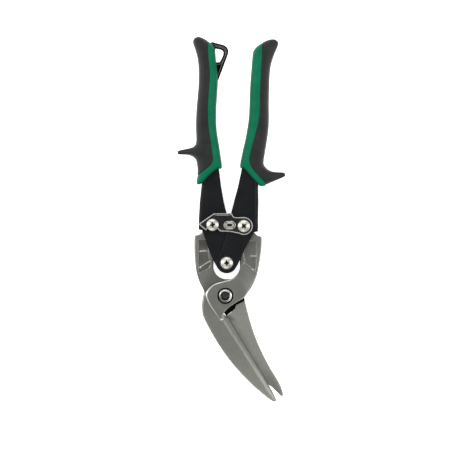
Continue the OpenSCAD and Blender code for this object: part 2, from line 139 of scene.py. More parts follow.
def disc(x, y, at, r):
    """Signed distance to a circle."""
    return np.hypot(x - at[0], y - at[1]) - r


def rod(x, y, z, at, r, low, high, edge=0.0):
    """An upright cylinder between two heights, with its edges rounded."""
    return meet(disc(x, y, at, r), np.abs(z - (low + high) / 2) - (high - low) / 2, edge)


def unit(field, step):
    """The field scaled so that it rises by about one per millimetre."""
    slope = np.sqrt(sum(g ** 2 for g in np.gradient(field, step)))
    return field / np.maximum(slope, 0.05)


class Grid:
    """Sample points round a box, in millimetres."""

    MARGIN = 3
    # Keeps the sample points off flat faces.
    SHIFT = 0.0137

    def __init__(self, low, high, step):
        self.step = step
        self.low = np.array(low, float) - self.MARGIN * step + self.SHIFT
        self.count = np.ceil((np.array(high) - self.low) / step).astype(int) + self.MARGIN + 1
        axes = [self.low[k] + step * np.arange(self.count[k]) for k in range(3)]
        self.x = axes[0][:, None]
        self.y = axes[1][None, :]
        self.z = axes[2][None, None, :]

    def flat(self, values):
        """Values on X and Y, ready to be used with heights."""
        return np.broadcast_to(values, self.count[:2])[:, :, None]

    @property
    def xyz(self):
        """The three coordinates, ready to be combined."""
        return self.x[:, :, None], self.y[:, :, None], self.z


def node_grid(step, *nodes):
    """Sample points round one or more CAD nodes."""
    lows, highs = zip(*(node_box(n) for n in nodes))
    return Grid(np.min(lows, 0), np.max(highs, 0), step)


def sample(field, grid, points):
    """The field at any points, by trilinear interpolation."""
    place = np.clip((points - grid.low) / grid.step, 0, grid.count - 1.001)
    base = place.astype(int)
    part = place - base
    value = 0
    for i in (0, 1):
        for j in (0, 1):
            for k in (0, 1):
                share = np.prod(np.where([i, j, k], part, 1 - part), 1)
                value = value + share * field[base[:, 0] + i, base[:, 1] + j, base[:, 2] + k]
    return value


def surface(field, grid):
    """Points and four-sided faces over the level 0 of a field."""
    stride = np.array([field.shape[1] * field.shape[2], field.shape[2], 1])
    rings, places = [], []
    for axis in range(3):
        first = np.swapaxes(field, 0, axis)[:-1]
        second = np.swapaxes(field, 0, axis)[1:]
        at = np.argwhere((first < 0) != (second < 0))
        f0, f1 = first[tuple(at.T)], second[tuple(at.T)]
        at[:, [0, axis]] = at[:, [axis, 0]]
        place = at.astype(float)
        place[:, axis] += f0 / (f0 - f1)
        u, v = (axis + 1) % 3, (axis + 2) % 3
        ring = np.stack([(at - du * np.eye(3, dtype=int)[u] - dv * np.eye(3, dtype=int)[v]) @ stride
                         for du, dv in ((0, 0), (1, 0), (1, 1), (0, 1))], 1)
        ring[f0 > 0] = ring[f0 > 0][:, ::-1]
        rings.append(ring)
        places.append(np.repeat(place, 4, 0))
    rings, places = np.concatenate(rings), np.concatenate(places)
    faces = np.unique(rings.ravel(), return_inverse=True)[1].reshape(-1)
    count = np.bincount(faces)
    points = np.stack([np.bincount(faces, places[:, k]) / count for k in range(3)], 1)
    points = points * grid.step + grid.low
    for _ in range(3):
        value = sample(field, grid, points)
        h = 0.5 * grid.step
        slope = np.stack([(sample(field, grid, points + h * e)
                           - sample(field, grid, points - h * e)) / (2 * h) for e in np.eye(3)], 1)
        move = -value[:, None] * slope / np.maximum((slope ** 2).sum(1), 0.05)[:, None]
        points += np.clip(move, -0.3 * grid.step, 0.3 * grid.step)
    return points, faces.reshape(-1, 4)


def smooth_object(name, points, faces):
    """A smooth mesh object in the scene, from points in millimetres above the shear plane."""
    mesh = bpy.data.meshes.new(name)
    mesh.from_pydata(((points + (0, 0, LIFT)) * MM).tolist(), [], faces)
    mesh.polygons.foreach_set("use_smooth", np.ones(len(mesh.polygons), bool))
    made = bpy.data.objects.new(name + "_look", mesh)
    bpy.context.scene.collection.objects.link(made)
    return made


def thin(made, keep):
    """Keeps a share of an object's triangles."""
    fewer = made.modifiers.new("fewer", "DECIMATE")
    fewer.ratio = keep
    bpy.context.view_layer.update()
    graph = bpy.context.evaluated_depsgraph_get()
    thinned = bpy.data.meshes.new_from_object(made.evaluated_get(graph))
    made.modifiers.clear()
    made.data = thinned


def add_marks(mesh, marks):
    """Stores values on a mesh's points, worked out from where each point is."""
    co = np.empty(len(mesh.vertices) * 3, np.float32)
    mesh.vertices.foreach_get("co", co)
    co = co.reshape(-1, 3) / MM - (0, 0, LIFT)
    for title, rule in marks.items():
        values = mesh.attributes.new(title, "FLOAT", "POINT")
        values.data.foreach_set("value", np.asarray(rule(*co.T), np.float32))


def piece(name, field, grid, body, material, keep, marks=None):
    """A mesh object from a field: it stands for the CAD node of that name and rides on its body."""
    field = np.broadcast_to(field, grid.count).astype(np.float32)
    points, faces = surface(field, grid)
    made = smooth_object(name, points, faces.tolist())
    thin(made, keep)
    if marks:
        add_marks(made.data, marks)
    made.data.materials.append(material)
    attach(made, body)
    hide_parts(name)


# ---------------------------------------------------------------- materials

def new_material(name, color, metallic, roughness):
    """A Principled material, with helpers that add and link nodes in it."""
    made = bpy.data.materials.new(name)
    made.use_nodes = True
    tree = made.node_tree
    shader = tree.nodes["Principled BSDF"]
    shader.inputs["Base Color"].default_value = (*color, 1)
    shader.inputs["Metallic"].default_value = metallic
    shader.inputs["Roughness"].default_value = roughness
    place = tree.nodes.new("ShaderNodeTexCoord").outputs["Object"]

    def add(kind, values=None, **settings):
        node = tree.nodes.new(kind)
        for key, value in settings.items():
            setattr(node, key, value)
        for key, value in (values or {}).items():
            if isinstance(value, bpy.types.NodeSocket):
                tree.links.new(value, node.inputs[key])
            else:
                node.inputs[key].default_value = value
        return node

    def link(source, target):
        tree.links.new(source, target)

    return made, shader, place, add, link


def noise(add, place, per_mm, detail, stretch=(1, 1, 1)):
    """Noise with about per_mm features in a millimetre."""
    sized = add("ShaderNodeMapping", {"Vector": place, "Scale": [1000 * per_mm * s for s in stretch]})
    made = add("ShaderNodeTexNoise", {"Vector": sized.outputs[0], "Scale": 1, "Detail": detail})
    return made.outputs["Fac"]


def spread(add, value, low, high, start=0.3, end=0.7):
    """Maps a value from start..end to low..high."""
    limits = {"From Min": start, "From Max": end, "To Min": low, "To Max": high}
    return add("ShaderNodeMapRange", {"Value": value, **limits}).outputs[0]


def blend(add, share, a, b):
    """A mix of two colours; each may be a colour or another node's output."""
    node = add("ShaderNodeMix", data_type="RGBA")
    for key, value in (("Factor", share), ("A", a), ("B", b)):
        socket = next(s for s in node.inputs if s.name == key and (key == "Factor") == (s.type == "VALUE")
                      and s.enabled)
        if isinstance(value, bpy.types.NodeSocket):
            node.id_data.links.new(value, socket)
        else:
            socket.default_value = value if key == "Factor" else (*value, 1)
    return next(s for s in node.outputs if s.type == "RGBA" and s.enabled)


def mark(add, title):
    """The value stored on a mesh's points under that title."""
    return add("ShaderNodeAttribute", attribute_name=title).outputs["Fac"]


def bump(add, link, shader, height, depth_mm, strength):
    """Fine relief from a height."""
    node = add("ShaderNodeBump", {"Height": height, "Distance": depth_mm * MM, "Strength": strength})
    link(node.outputs[0], shader.inputs["Normal"])


def jaw_material():
    """Cast, ground steel: warm grey, cloudy, gritty; painted shade in hollows, painted highlights on edges.
    """
    made, shader, place, add, link = new_material("jaw_steel", (0.3, 0.3, 0.28), 1.0, 0.4)
    clouds = noise(add, place, 0.12, 5)
    grit = noise(add, place, 5.0, 3)
    fine = noise(add, place, 1.2, 6, (1, 0.25, 1))
    # Painted shading along each jaw, lighter or darker by where it lies, from the mark on its points.
    color = blend(add, mark(add, "painted_light_falloff"), (0.19, 0.188, 0.176), (0.36, 0.36, 0.33))
    color = blend(add, spread(add, clouds, 0, 0.3), color, (0.3, 0.298, 0.27))
    color = blend(add, spread(add, fine, 0, 0.3), color, (0.17, 0.17, 0.15))
    # Painted shade in hollows, gaps and along walls, from the mark on its points.
    color = blend(add, mark(add, "painted_shade"), color, (0.01, 0.01, 0.009))
    # Painted highlights on edges, ribs and lips, from the mark on its points.
    color = blend(add, mark(add, "painted_highlight"), color, (0.72, 0.72, 0.7))
    link(color, shader.inputs["Base Color"])
    link(spread(add, grit, 0.36, 0.52), shader.inputs["Roughness"])
    bump(add, link, shader, grit, 0.02, 0.35)
    return made


def coated_sheet_material():
    """Satin black coating over sheet steel, with faint orange peel."""
    made, shader, place, add, link = new_material("handle_steel", (0.004, 0.0045, 0.0055), 0.0, 0.42)
    clouds = noise(add, place, 0.08, 4)
    peel = noise(add, place, 1.6, 3)
    color = blend(add, spread(add, clouds, 0, 1), (0.0035, 0.004, 0.005), (0.006, 0.0066, 0.0076))
    link(color, shader.inputs["Base Color"])
    link(spread(add, peel, 0.38, 0.5), shader.inputs["Roughness"])
    shader.inputs["Specular IOR Level"].default_value = 0.13
    bump(add, link, shader, peel, 0.02, 0.25)
    return made


def moulded_material(name, dark, light, roughness, gloss, highlight_color=None):
    """Moulded plastic: fine leathery grain, slightly uneven colour, with a painted highlight where its mark
    says.
    """
    made, shader, place, add, link = new_material(name, light, 0.0, roughness)
    shader.inputs["Specular IOR Level"].default_value = gloss
    clouds = noise(add, place, 0.1, 5)
    sized = add("ShaderNodeMapping", {"Vector": place, "Scale": [1900] * 3})
    cells = add("ShaderNodeTexVoronoi", {"Vector": sized.outputs[0], "Scale": 1}, feature="SMOOTH_F1")
    grain = cells.outputs["Distance"]
    color = blend(add, spread(add, clouds, 0, 1), dark, light)
    if highlight_color:
        # Painted highlight, where the mark on its points says.
        color = blend(add, mark(add, "painted_highlight"), color, highlight_color)
    link(color, shader.inputs["Base Color"])
    link(spread(add, grain, roughness - 0.06, roughness + 0.08, 0, 1), shader.inputs["Roughness"])
    bump(add, link, shader, grain, 0.05, 0.3)
    return made


def plated_material(name, dark, light, roughness):
    """Plated or bare metal with fine scratches and slightly uneven gloss."""
    made, shader, place, add, link = new_material(name, light, 1.0, roughness)
    clouds = noise(add, place, 0.4, 4)
    scratches = noise(add, place, 1.5, 6, (1, 0.15, 1))
    color = blend(add, spread(add, clouds, 0, 1), dark, light)
    link(color, shader.inputs["Base Color"])
    link(spread(add, scratches, roughness - 0.07, roughness + 0.1), shader.inputs["Roughness"])
    bump(add, link, shader, scratches, 0.008, 0.4)
    return made


def recessed_material(name, dark, light, roughness):
    """Plated metal with painted shade where its mark says."""
    made, shader, place, add, link = new_material(name, light, 1.0, roughness)
    clouds = noise(add, place, 0.5, 4)
    scratches = noise(add, place, 1.8, 6, (1, 0.2, 1))
    color = blend(add, spread(add, clouds, 0, 1), dark, light)
    # Painted shade in recesses and on the side turned from the light, from the mark on its points.
    color = blend(add, mark(add, "painted_shade"), color, (0.03, 0.024, 0.014))
    link(color, shader.inputs["Base Color"])
    link(spread(add, scratches, roughness - 0.06, roughness + 0.1), shader.inputs["Roughness"])
    bump(add, link, shader, scratches, 0.006, 0.4)
    return made


def latch_material():
    """Blackened steel with painted highlights along its cut edges, where its mark says."""
    made, shader, place, add, link = new_material("latch_steel", (0.012, 0.012, 0.013), 0.6, 0.4)
    clouds = noise(add, place, 0.3, 4)
    wear = noise(add, place, 1.5, 5)
    black = blend(add, spread(add, clouds, 0, 1), (0.008, 0.008, 0.009), (0.02, 0.02, 0.021))
    edge_highlight = blend(add, spread(add, wear, 0, 1), (0.3, 0.3, 0.29), (0.48, 0.48, 0.46))
    # Painted highlight on the cut edges, from the mark on its points.
    link(blend(add, mark(add, "painted_highlight"), black, edge_highlight), shader.inputs["Base Color"])
    link(spread(add, wear, 0.36, 0.5), shader.inputs["Roughness"])
    bump(add, link, shader, wear, 0.01, 0.3)
    return made


JAW = jaw_material()
SHEET = coated_sheet_material()
DARK_GRIP = moulded_material("grip_dark", (0.0085, 0.0098, 0.0094), (0.0142, 0.0152, 0.0146), 0.55, 0.2)
GREEN_GRIP = moulded_material("grip_green", (0.0008, 0.098, 0.046), (0.001, 0.125, 0.06), 0.5, 0.08)
# Black plastic, with a grey painted highlight along its bar.
LOOP = moulded_material("loop_plastic", (0.0008, 0.0008, 0.001), (0.002, 0.002, 0.0025), 0.5, 0.005,
                        (0.12, 0.12, 0.12))
NICKEL = recessed_material("nickel", (0.4, 0.39, 0.35), (0.52, 0.51, 0.47), 0.42)
ZINC = plated_material("zinc", (0.42, 0.42, 0.41), (0.6, 0.6, 0.58), 0.36)
BRIGHT = recessed_material("nut_steel", (0.62, 0.62, 0.6), (0.8, 0.8, 0.78), 0.25)
BLACKENED = plated_material("black_steel", (0.02, 0.02, 0.021), (0.05, 0.05, 0.05), 0.42)
LATCH = latch_material()
SPRING = plated_material("spring_steel", (0.4, 0.4, 0.41), (0.6, 0.6, 0.6), 0.3)
BRONZE = plated_material("bronze", (0.3, 0.22, 0.1), (0.45, 0.34, 0.17), 0.4)


# ---------------------------------------------------------------- jaws

SHEAR_GAP = 0.05
HUB_TOP = 5.6
BLADE_TOP = 4.45
TIP_TOP = 2.6
LAND = 1.0
BEVEL = 4.6
TANG = 2.8
PANEL_D = 0.6
BOLT_HOLE = 4.05
SCREW_HOLE = 2.55
COUNTERBORE = 6.4
COUNTERBORE_FLOOR = HUB_TOP - 1
GROOVE_D = 3.0
STEP_JAW = 0.36
KEEP_JAW = 0.4

# Heights at which the CAD jaws are cut: through the blade, through the tang, and where only the hub is.
BLADE_CUTS = (0.5, 3.6)
TANG_CUT = 1.7
HUB_CUT = 4.52
# The tang lies above the first of these Y values, and the blade below the second.
TANG_Y = 13
BLADE_Y = 6

HUB_CHAMFER = 0.8
TANG_ROUND = 1.1
BLADE_ROUND = 1.3
BEVEL_ROUND = 0.8
RIB_R = 0.5
KNOB_R = 0.9
BOSS_R = 6.5
BOSS_HALF = 4.45
PEG_R = 1.3
PEG_AT = 8.1
PEG_HALF = 1.5

FRONT_EDGE = np.array([[2.8, -18], [36.6, -74.8]])
BACK_EDGE = np.array([[-3.2, -17.2], [34.6, -71.6]])
GROOVE = [[-1.2, -15.6], [0, -17], [1.8, -14.9], [5.6, -12.1], [7.8, -9.9], [8.4, -7.4], [11.2, -6],
          [15.2, -4], [15.2, -1], [9, -4.6], [3.7, -8.2], [-1.6, -13.6]]
GROOVE_LIP = [[[2.4, -14.6], [4.2, -13.1]]]
BLADE_ROOT = [[[-1.9, -14.7], [2.6, -17.9]]]
RIGHT_PANEL = [[17.5, 43.8], [24.9, 43.8], [24.8, 26], [23.6, 19.5], [14.4, 24.9], [15.8, 28], [14.2, 34]]
LEFT_PANEL = [[-13, 44.6], [-21.6, 44.6], [-21.5, 28], [-20.9, 18.3], [-13.4, 22.1], [-11.9, 24.8],
              [-13.4, 29], [-14.2, 35]]
RIGHT_RIBS = [[[15.2, 26.2], [22.5, 20.8]], [[20.2, 31.6], [24.9, 31.6]]]
LEFT_RIBS = [[[-12.4, 27.6], [-20, 22.6]], [[-15.2, 35.9], [-20.4, 35.4]]]

SPRING_BOX = node_box("opening_spring")
SPRING_AT = (SPRING_BOX[0][:2] + SPRING_BOX[1][:2]) / 2
SPRING_AXIS = (RIGHT - LEFT) / np.linalg.norm(RIGHT - LEFT)


def blade_height(y):
    """Height of a blade's outer face, from its root to its tip."""
    return BLADE_TOP + (TIP_TOP - BLADE_TOP) * np.clip((-20 - y) / 66, 0, 1)


def past_edge(x, y, edge, side):
    """Distance from a cutting edge's line, into its blade."""
    along = (edge[1] - edge[0]) / np.linalg.norm(edge[1] - edge[0])
    return side * ((x - edge[0][0]) * along[1] - (y - edge[0][1]) * along[0])


def outer_face(x, y):
    """Height of the face on the hub's side: down from the hub to the tang on a long ramp."""
    return HUB_TOP + (TANG - HUB_TOP) * ease(disc(x, y, MAIN, 0), 15, 31)


def shear_face(x, y):
    """Height of the face on the other jaw's side: away from the shear plane on a long ramp."""
    return (TANG + SHEAR_GAP) * ease(disc(x, y, MAIN, 0), 16.8, 33) - SHEAR_GAP


def jaw_solid(g, node, edge, side, panel, ribs, up):
    """One jaw, with its hub above the shear plane where up is 1 and below it where up is -1."""
    x, y, z = g.xyz
    whole = np.minimum(*(outline(g.x, g.y, section(node, h * up)) for h in BLADE_CUTS))
    hub = outline(g.x, g.y, section(node, HUB_CUT * up))
    tang = np.maximum(outline(g.x, g.y, section(node, TANG_CUT * up)), TANG_Y - g.y)
    whole, upper = g.flat(whole), g.flat(np.minimum(hub, tang))
    out = z * up
    soft = ease(disc(x, y, MAIN, 0), 20, 28)
    top = out - outer_face(x, y)
    under = -out - shear_face(x, y)
    near_root = g.flat(ease(to_segments(g.x, g.y, BLADE_ROOT), 3.5, 1.5)) * (up > 0)
    crisp = meet(chamfer(upper, top, HUB_CHAMFER - 0.55 * near_root), under, 0.1)
    rounded = meet(meet(upper, top, TANG_ROUND), under, TANG_ROUND)
    solid = crisp + (rounded - crisp) * soft
    depth = past_edge(x, y, edge, side)
    slope = (BLADE_TOP - LAND) / BEVEL
    bevel = (out - LAND - depth * slope) / np.hypot(1, slope)
    blade = np.maximum(whole, y - BLADE_Y)
    blade = meet(blade, out - blade_height(y), BLADE_ROUND - 1.2 * near_root)
    blade = meet(meet(blade, bevel, BEVEL_ROUND), SHEAR_GAP - out, 0.05)
    solid = join(solid, blade, 0.2)
    face = outer_face(x, y) if up > 0 else shear_face(x, y)
    border = g.flat(outline(g.x, g.y, loop(panel)))
    solid = meet(solid, -meet(border, face - PANEL_D - z, 0.3), 0.35)
    lines = g.flat(np.minimum(*(to_segments(g.x, g.y, [r]) for r in ribs)))
    bar = np.hypot(lines, z - face + PANEL_D) - RIB_R
    end = ribs[0][1]
    knob = np.sqrt((x - end[0]) ** 2 + (y - end[1]) ** 2 + (z - face + PANEL_D) ** 2) - KNOB_R
    return join(solid, np.maximum(np.minimum(bar, knob), border - 0.3), 0.2)


def spring_peg(g, side):
    """The stub that holds one end of the opening spring."""
    x, y, z = g.xyz
    along = (x - SPRING_AT[0]) * SPRING_AXIS[0] + (y - SPRING_AT[1]) * SPRING_AXIS[1]
    off = (x - SPRING_AT[0]) * -SPRING_AXIS[1] + (y - SPRING_AT[1]) * SPRING_AXIS[0]
    return meet(np.hypot(off, z) - PEG_R, np.abs(along * side - PEG_AT) - PEG_HALF, 0.3)


def lit_ribs(px, py, pz, ribs, face, most):
    """Painted highlight on a tang's ribs: most at the blob where the long rib ends."""
    lines = np.minimum(*(to_segments(px, py, [r]) for r in ribs))
    proud = ease(pz, face - 0.5, face - 0.15)
    end = ribs[0][1]
    blob = ease(np.hypot(px - end[0], py - end[1]), 1.2, 0.5)
    return most * proud * np.maximum(0.5 * ease(lines, 0.9, 0.4), blob)


def shaded_panel(px, py, pz, panel, face):
    """How much painted shade a tang's sunk panel gets: most along its walls."""
    border = outline(px, py, loop(panel))
    sunk = ease(border, 0.3, -0.2) * ease(pz, face - 0.25, face - 0.5)
    return sunk * (0.3 + 0.35 * ease(border, -1.1, -0.3))


def bevel_shade(px, py, height, edge, side):
    """How much painted shade a blade's bevel gets, from its cutting edge up to its shoulder."""
    depth = past_edge(px, py, edge, side)
    along = ease(py, -14, -19) * ease(height, blade_height(py) - 0.02, blade_height(py) - 0.15)
    return along * 0.28 * ease(depth, BEVEL + 0.5, BEVEL - 0.3)


def front_jaw():
    """The jaw whose hub shows, with a boss on its tang, a counterbore and one of the spring's pegs."""
    g = node_grid(STEP_JAW, "front_jaw")
    x, y, z = g.xyz
    solid = jaw_solid(g, "front_jaw", FRONT_EDGE, 1, RIGHT_PANEL, RIGHT_RIBS, 1)
    solid = join(solid, rod(x, y, z, RIGHT, BOSS_R, -BOSS_HALF, BOSS_HALF, 0.3), 0.4)
    solid = join(solid, spring_peg(g, 1), 0.2)
    solid = meet(solid, -rod(x, y, z, MAIN, COUNTERBORE, COUNTERBORE_FLOOR, 20), 0.2)
    solid = np.maximum(solid, -disc(x, y, MAIN, BOLT_HOLE))
    solid = np.maximum(solid, -disc(x, y, RIGHT, SCREW_HOLE))
    hub = section("front_jaw", HUB_CUT)

    # Painted shade: in the counterbore, along the panel's walls, on the ramp to the tang and on the bevel.
    def painted_shade(px, py, pz):
        bore = ease(disc(px, py, MAIN, COUNTERBORE), 0.2, -0.1) * ease(pz, 6, 5.3)
        panel = 0.5 * shaded_panel(px, py, pz, RIGHT_PANEL, outer_face(px, py))
        away = disc(px, py, MAIN, 0)
        ramp = 0.22 * ease(away, 17, 21) * ease(away, 32, 25) * (py > 0)
        return np.maximum.reduce([bore, panel, ramp, bevel_shade(px, py, pz, FRONT_EDGE, 1)])

    # Painted highlights: along the hub's chamfer, brightest on its lower left, at its lower tip and on the
    # ribs.
    def painted_highlight(px, py, pz):
        off = outline(px, py, hub)
        rim = ease(off, -1.0, -0.6) * ease(off, 0.4, 0.1)
        rim = rim * ease(pz, 4.5, 4.8) * ease(pz, 5.6, 5.45) * ease(py, 16.5, 14.5)
        rim = rim * (0.35 + 0.65 * ease(py - px, -11, -5) * ease(px, 8, 4))
        tip = ease(np.hypot(px + 2.5, py + 19.8), 2.2, 1.2) * ease(pz, 4.5, 4.8) * ease(pz, 5.6, 5.4)
        ribs = lit_ribs(px, py, pz, RIGHT_RIBS, outer_face(px, py), 0.25)
        return np.maximum.reduce([rim, tip, ribs])

    # Painted shading: darker at the hub, lighter towards the tip.
    def painted_light_falloff(px, py, pz):
        return 0.3 * ease(-py, 12, 20) + 0.55 * ease(-py, 35, 75)

    piece("front_jaw", solid, g, "front_jaw", JAW, KEEP_JAW,
          {"painted_shade": painted_shade, "painted_highlight": painted_highlight, "painted_light_falloff": painted_light_falloff})


def back_jaw():
    """The jaw behind, with the relief groove past the front hub's lower edge and the other peg."""
    g = node_grid(STEP_JAW, "back_jaw")
    x, y, z = g.xyz
    solid = jaw_solid(g, "back_jaw", BACK_EDGE, -1, LEFT_PANEL, LEFT_RIBS, -1)
    solid = join(solid, spring_peg(g, -1), 0.2)
    solid = np.maximum(solid, -disc(x, y, MAIN, BOLT_HOLE))
    solid = np.maximum(solid, -disc(x, y, LEFT, SCREW_HOLE))
    groove = g.flat(outline(g.x, g.y, loop(GROOVE)))
    solid = meet(solid, -np.maximum(groove, -GROOVE_D - z), 0.2)
    off_lip = g.flat(ease(to_segments(g.x, g.y, GROOVE_LIP), 0.7, 1.2))
    solid = np.maximum(solid, z + SHEAR_GAP + 0.2 * (0.9 - groove) - 3 * off_lip)

    # Painted shade: in the relief groove, beside the front blade's root, under the front hub, in the panel
    # and on the bevel.
    def painted_shade(px, py, pz):
        slot = ease(outline(px, py, loop(GROOVE)), 0.35, 0.05) * ease(pz, 0.1, -0.3)
        root = 0.6 * ease(past_edge(px, py, FRONT_EDGE, -1), 3.5, 0)
        root = root * ease(py, -15.5, -17) * ease(py, -23, -19)
        below_hub = 0.22 * ease(disc(px, py, MAIN, 0), 25, 15) * (py > -4)
        panel = shaded_panel(px, py, pz, LEFT_PANEL, shear_face(px, py))
        bevel = bevel_shade(px, py, -pz, BACK_EDGE, -1)
        return np.maximum.reduce([slot, root, below_hub, panel, bevel])

    # Painted highlights: a lip along the groove's lower edge and the ribs.
    def painted_highlight(px, py, pz):
        off = outline(px, py, loop(GROOVE))
        lip = ease(to_segments(px, py, GROOVE_LIP), 1.0, 0.6) * ease(off, 0.85, 0.6) * ease(pz, -0.6, -0.3)
        return np.maximum(lip, lit_ribs(px, py, pz, LEFT_RIBS, shear_face(px, py), 0.7))

    # Painted shading: darker on the tang, lighter on the blade.
    def painted_light_falloff(px, py, pz):
        return 0.85 - 0.85 * ease(py, -4, 4)

    piece("back_jaw", solid, g, "back_jaw", JAW, KEEP_JAW,
          {"painted_shade": painted_shade, "painted_highlight": painted_highlight, "painted_light_falloff": painted_light_falloff})


front_jaw()
back_jaw()


# ---------------------------------------------------------------- handles

SHEET_T = 1.5
RIGHT_HALF = 6.05
LEFT_HALF = 4.4
# The centre screw's holes in the left channel are wider, because that pivot is the opened one.
WIDE_HOLE = 2.9


def channel(node, body, half, bores):
    """A folded sheet channel, from the outlines of its plates and its web."""
    g = node_grid(0.38, node)
    x, y, z = g.xyz
    plate = g.flat(outline(g.x, g.y, section(node, half - SHEET_T / 2)))
    web = g.flat(outline(g.x, g.y, section(node, 0)))
    fold = ease(web, 3.0, 0.5)
    outside = meet(plate, np.abs(z) - half, 0.22 + 1.3 * fold)
    plates = meet(outside, half - SHEET_T - np.abs(z), 0.15)
    solid = join(plates, np.maximum(outside, web), 0.9)
    for at, r in bores:
        solid = np.maximum(solid, -disc(x, y, at, r))
    piece(node, solid, g, body, SHEET, 0.35)


CENTRE_BOX = node_box("centre_screw")
CENTRE = (CENTRE_BOX[0][:2] + CENTRE_BOX[1][:2]) / 2
channel("right_handle_channel", "right_handle", RIGHT_HALF, [(RIGHT, SCREW_HOLE), (CENTRE, SCREW_HOLE)])
channel("left_handle_channel", "left_handle", LEFT_HALF, [(LEFT, SCREW_HOLE), (CENTRE, WIDE_HOLE)])


# ---------------------------------------------------------------- grips

GRIP_HALF = LIFT
CROWN_R = 7.2
FOOT_CROWN_R = 2.6
CROWN_POWER = 2.6
WING_HALF = 9.6
WING_TAPER = 5.2
SEAM_ROUND = 0.55


def blur(values, times):
    """A soft copy of a grid of values."""
    for _ in range(times):
        for axis in (0, 1):
            values = (np.roll(values, 1, axis) + 2 * values + np.roll(values, -1, axis)) / 4
    return values


def grip(side, body, horn_x, horn_reach, foot, foot_side):
    """Both mouldings of a grip: a crowned whole, parted along the seam between the two outlines."""
    names = [f"{side}_grip_body", f"{side}_grip_inlay"]
    g = node_grid(0.42, *names)
    x, z = g.x[:, :, None], g.z
    cuts = [section(n, 7.0) for n in names]
    dark, green = (outline(g.x, g.y, c) for c in cuts)
    mids = [c.mean(1) for c in cuts]
    shared = [to_segments(m[:, 0], m[:, 1], other) < 0.05 for m, other in zip(mids, cuts[::-1])]
    rim = np.concatenate([c[~s] for c, s in zip(cuts, shared)])
    seam = to_segments(g.x, g.y, cuts[0][shared[0]])
    whole = np.where((dark < 0) | (green < 0), -1, 1) * to_segments(g.x, g.y, rim)
    depth = -whole
    share = ease(depth, 1.0, 4.5)
    depth = depth * (1 - share) + blur(depth, 40) * share
    from_foot = foot_side * ((g.x - foot[0][0]) * (foot[1][1] - foot[0][1])
                             - (g.y - foot[0][1]) * (foot[1][0] - foot[0][0]))
    from_foot = from_foot / np.hypot(*np.subtract(*foot))
    crown = FOOT_CROWN_R + (CROWN_R - FOOT_CROWN_R) * ease(from_foot, 1.0, 9.0)
    out = g.flat(np.maximum(1 - depth / crown, 0))
    crowned = (out ** CROWN_POWER + (np.abs(z) / GRIP_HALF) ** CROWN_POWER) ** (1 / CROWN_POWER) - 1
    field = unit(crowned * 8, g.step)
    reach = (x - horn_x) * np.sign(horn_reach)
    wing = np.abs(z) - (WING_HALF - WING_TAPER * ease(reach, 0, abs(horn_reach)))
    field = meet(field, wing, 1.8)
    sign = np.where(dark < green, -1, 1)
    dark_part = meet(field, g.flat(sign * seam), SEAM_ROUND)
    piece(names[0], dark_part, g, body, DARK_GRIP, 0.6)
    green_part = meet(field, g.flat(-sign * seam), SEAM_ROUND)
    piece(names[1], green_part, g, body, GREEN_GRIP, 0.6)


grip("right", "right_handle", 31.5, 15, [(12.0, 102.2), (28.4, 87.5)], -1)
grip("left", "left_handle", -23.0, -14, [(-3.2, 101.4), (-20.8, 87.2)], 1)


# ---------------------------------------------------------------- hang loop

def hang_loop():
    """A round bar along the loop's outline, with a thin web inside."""
    g = node_grid(0.25, "hang_loop")
    bar_r, web_half = 1.5, 0.8
    cut = section("hang_loop", 0.1)
    shape = g.flat(outline(g.x, g.y, cut))
    bar = np.hypot(shape + bar_r, g.z) - bar_r
    web = meet(shape, np.abs(g.z) - web_half, 0.3)

    # Painted highlight along the crest of the bar.
    def painted_highlight(px, py, pz):
        crest = np.abs(outline(px, py, cut) + bar_r)
        return 0.8 * ease(crest, 0.45, 0.15) * ease(pz, 1.2, 1.4)

    piece("hang_loop", join(bar, web, 0.5), g, "left_handle", LOOP, 0.8, {"painted_highlight": painted_highlight})


hang_loop()


# ---------------------------------------------------------------- fasteners

HEAD_H = 2.3
HEAD_R = 5.0
DOME = 1.8
BALL = (HEAD_R ** 2 + DOME ** 2) / (2 * DOME)
SCREW_R = 2.5
NECK_R = 1.8
PITCH = 0.8
THREAD_D = 0.3
THREAD_LENGTH = 3.4


def thread(x, y, z, at, r, below=np.inf):
    """A round shank that carries a thread below a height."""
    turn = np.arctan2(y - at[1], x - at[0]) / (2 * np.pi)
    wave = np.abs(((z / PITCH + turn) % 1) * 2 - 1)
    return disc(x, y, at, r - THREAD_D * wave * (z < below))


def recess(x, y, z, at, top, turn):
    """A cross recess: four arms that narrow with depth."""
    c, s = np.cos(np.radians(turn)), np.sin(np.radians(turn))
    u = (x - at[0]) * c + (y - at[1]) * s
    v = (y - at[1]) * c - (x - at[0]) * s
    deep = top - z
    arm_half, arm_reach, core_r, depth = 0.58, 2.15, 1.2, 1.6
    arms = [np.maximum(np.abs(a) - arm_half + 0.1 * deep, np.abs(b) - arm_reach + 0.5 * deep)
            for a, b in ((u, v), (v, u))]
    core = np.hypot(u, v) - core_r + 0.3 * deep
    return np.maximum(join(np.minimum(*arms), core, 0.15), deep - depth)


def head_cover(x, y, z, at, seat):
    """A shallow domed head on its seat."""
    ball_z = seat + HEAD_H - BALL
    cap = np.sqrt((x - at[0]) ** 2 + (y - at[1]) ** 2 + (z - ball_z) ** 2) - BALL
    return meet(meet(disc(x, y, at, HEAD_R), cap, 0.35), seat - z, 0.1)


